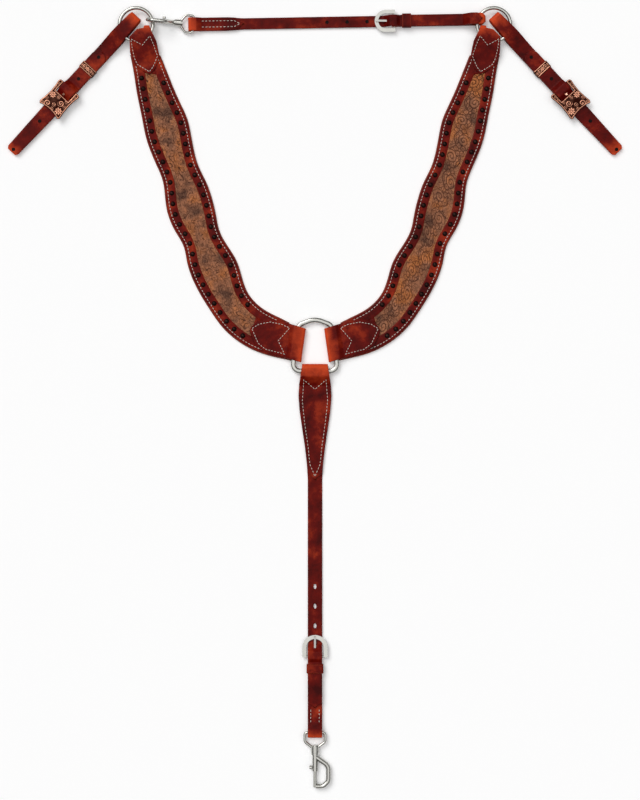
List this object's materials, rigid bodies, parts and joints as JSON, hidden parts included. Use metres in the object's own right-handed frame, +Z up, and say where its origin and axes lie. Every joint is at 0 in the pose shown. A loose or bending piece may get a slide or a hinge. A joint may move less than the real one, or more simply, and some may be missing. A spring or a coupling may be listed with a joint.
{
  "type": "western horse breastplate",
  "caption": "Scalloped leather breast collar with spotted borders and hide inlays, neck strap, two buckled tugs and a tie-down with bolt snap.",
  "frame": {"origin": "on the resting surface, midway between the tugs' ends and midway between the tops of the upper rings and the foot of the tie-down's hook", "axes": "+Y from the tie-down's hook up to the neck strap, +X across to the right-hand tug, +Z up out of the front face"},
  "size_m": [0.944, 1.2017, 0.0255],
  "materials": {
    "saddle_leather": "oiled saddle leather, reddish brown, semi-gloss",
    "backing_leather": "backing leather with burnished edges",
    "inlay_hide": "embossed floral hide, antiqued tan and copper",
    "dark_spots": "dark glossy domed spots",
    "antique_copper": "antiqued copper with floral relief",
    "nickel_steel": "polished nickel-plated steel",
    "spring_steel": "plain spring wire"
  },
  "bodies": {
    "collar": {"collar_back_left": "backing_leather", "collar_border_left": "saddle_leather", "collar_inlay_left": "inlay_hide", "collar_spots_left": "dark_spots", "ring_tab_left": "saddle_leather", "middle_tab_left": "saddle_leather", "collar_back_right": "backing_leather", "collar_border_right": "saddle_leather", "collar_inlay_right": "inlay_hide", "collar_spots_right": "dark_spots", "ring_tab_right": "saddle_leather", "middle_tab_right": "saddle_leather", "middle_ring": "nickel_steel"},
    "neck_strap": {"ring_loop_left": "saddle_leather", "ring_loop_right": "saddle_leather", "neck_strap": "saddle_leather", "neck_ring_strap": "saddle_leather", "neck_buckle": "nickel_steel", "neck_snap_eye": "nickel_steel", "neck_snap_body": "nickel_steel", "neck_snap_spring": "spring_steel"},
    "neck_tongue": {"neck_tongue": "nickel_steel"},
    "neck_keeper": {"neck_keeper": "saddle_leather"},
    "neck_snap_bolt": {"neck_snap_bolt": "nickel_steel"},
    "tie_down": {"tie_down_strap": "saddle_leather", "tie_down_snap_strap": "saddle_leather", "tie_down_buckle": "nickel_steel"},
    "tie_down_tongue": {"tie_down_tongue": "nickel_steel"},
    "tie_down_keeper": {"tie_down_keeper": "saddle_leather"},
    "tie_down_snap_eye": {"tie_down_snap_eye": "nickel_steel"},
    "tie_down_snap": {"tie_down_snap_body": "nickel_steel", "tie_down_snap_spring": "spring_steel"},
    "tie_down_snap_bolt": {"tie_down_snap_bolt": "nickel_steel"},
    "ring_left": {"ring_left": "nickel_steel", "tug_loop_left": "saddle_leather"},
    "tug_left": {"tug_strap_left": "saddle_leather", "tug_buckle_left": "antique_copper", "tug_heel_bar_left": "antique_copper"},
    "tug_tongue_left": {"tug_tongue_left": "antique_copper"},
    "tug_keeper_left": {"tug_keeper_left": "antique_copper"},
    "ring_right": {"ring_right": "nickel_steel", "tug_loop_right": "saddle_leather"},
    "tug_right": {"tug_strap_right": "saddle_leather", "tug_buckle_right": "antique_copper", "tug_heel_bar_right": "antique_copper"},
    "tug_tongue_right": {"tug_tongue_right": "antique_copper"},
    "tug_keeper_right": {"tug_keeper_right": "antique_copper"}
  },
  "joints": [
    {"name": "neck_strap_swing", "type": "hinge", "parent": "collar", "child": "neck_strap", "pos_m": [0, 0.53, 0.0039], "axis": [1, 0, 0], "range_deg": [-75, 75]},
    {"name": "ring_left_turn", "type": "hinge", "parent": "neck_strap", "child": "ring_left", "pos_m": [-0.2744, 0.5725, 0.01058], "axis": [0, 0, 1], "range_deg": [-50, 0]},
    {"name": "tug_left_lift", "type": "hinge", "parent": "ring_left", "child": "tug_left", "pos_m": [-0.31843, 0.53765, 0.00405], "axis": [-0.7325, 0.6807, 0], "range_deg": [-60, 75]},
    {"name": "tug_left_tongue", "type": "hinge", "parent": "tug_left", "child": "tug_tongue_left", "pos_m": [-0.37765, 0.47392, 0.0079], "axis": [-0.7325, 0.6807, 0], "range_deg": [0, 5]},
    {"name": "tug_left_keeper", "type": "slide", "parent": "tug_left", "child": "tug_keeper_left", "axis": [-0.6807, -0.7325, 0], "range_m": [-0.022, 0.016]},
    {"name": "ring_right_turn", "type": "hinge", "parent": "neck_strap", "child": "ring_right", "pos_m": [0.2744, 0.5725, 0.01058], "axis": [0, 0, 1], "range_deg": [0, 50]},
    {"name": "tug_right_lift", "type": "hinge", "parent": "ring_right", "child": "tug_right", "pos_m": [0.31843, 0.53765, 0.00405], "axis": [-0.7325, -0.6807, 0], "range_deg": [-60, 75]},
    {"name": "tug_right_tongue", "type": "hinge", "parent": "tug_right", "child": "tug_tongue_right", "pos_m": [0.37765, 0.47392, 0.0079], "axis": [-0.7325, -0.6807, 0], "range_deg": [0, 5]},
    {"name": "tug_right_keeper", "type": "slide", "parent": "tug_right", "child": "tug_keeper_right", "axis": [0.6807, -0.7325, 0], "range_m": [-0.022, 0.016]},
    {"name": "neck_tongue_lift", "type": "hinge", "parent": "neck_strap", "child": "neck_tongue", "pos_m": [0.12176, 0.57916, 0.0058], "axis": [-0.0169, 0.9999, 0], "range_deg": [0, 5]},
    {"name": "neck_keeper_slide", "type": "slide", "parent": "neck_strap", "child": "neck_keeper", "axis": [0.9999, 0.0169, 0], "range_m": [-0.001, 0.06]},
    {"name": "neck_snap_bolt_slide", "type": "slide", "parent": "neck_strap", "child": "neck_snap_bolt", "axis": [0.9945, -0.1045, 0], "range_m": [0, 0.00756], "stiffness_N_per_m": 400, "springref_m": -0.002, "deforming": ["neck_snap_spring"]},
    {"name": "tie_down_swing", "type": "hinge", "parent": "collar", "child": "tie_down", "pos_m": [0, 0.041, 0.0065], "axis": [1, 0, 0], "range_deg": [-120, 90]},
    {"name": "tie_down_tongue_lift", "type": "hinge", "parent": "tie_down", "child": "tie_down_tongue", "pos_m": [0, -0.3974, 0.0058], "axis": [1, 0, 0], "range_deg": [0, 5]},
    {"name": "tie_down_keeper_slide", "type": "slide", "parent": "tie_down", "child": "tie_down_keeper", "axis": [0, -1, 0], "range_m": [-0.001, 0.055]},
    {"name": "tie_down_snap_swing", "type": "hinge", "parent": "tie_down", "child": "tie_down_snap_eye", "pos_m": [0, -0.5143, 0.00655], "axis": [1, 0, 0], "range_deg": [-90, 90]},
    {"name": "tie_down_snap_swivel", "type": "hinge", "parent": "tie_down_snap_eye", "child": "tie_down_snap", "pos_m": [0, -0.5443, 0.00655], "axis": [0, 1, 0], "continuous": true},
    {"name": "tie_down_snap_bolt_slide", "type": "slide", "parent": "tie_down_snap", "child": "tie_down_snap_bolt", "axis": [0, 1, 0], "range_m": [0, 0.009], "stiffness_N_per_m": 400, "springref_m": -0.002, "deforming": ["tie_down_snap_spring"]}
  ]
}
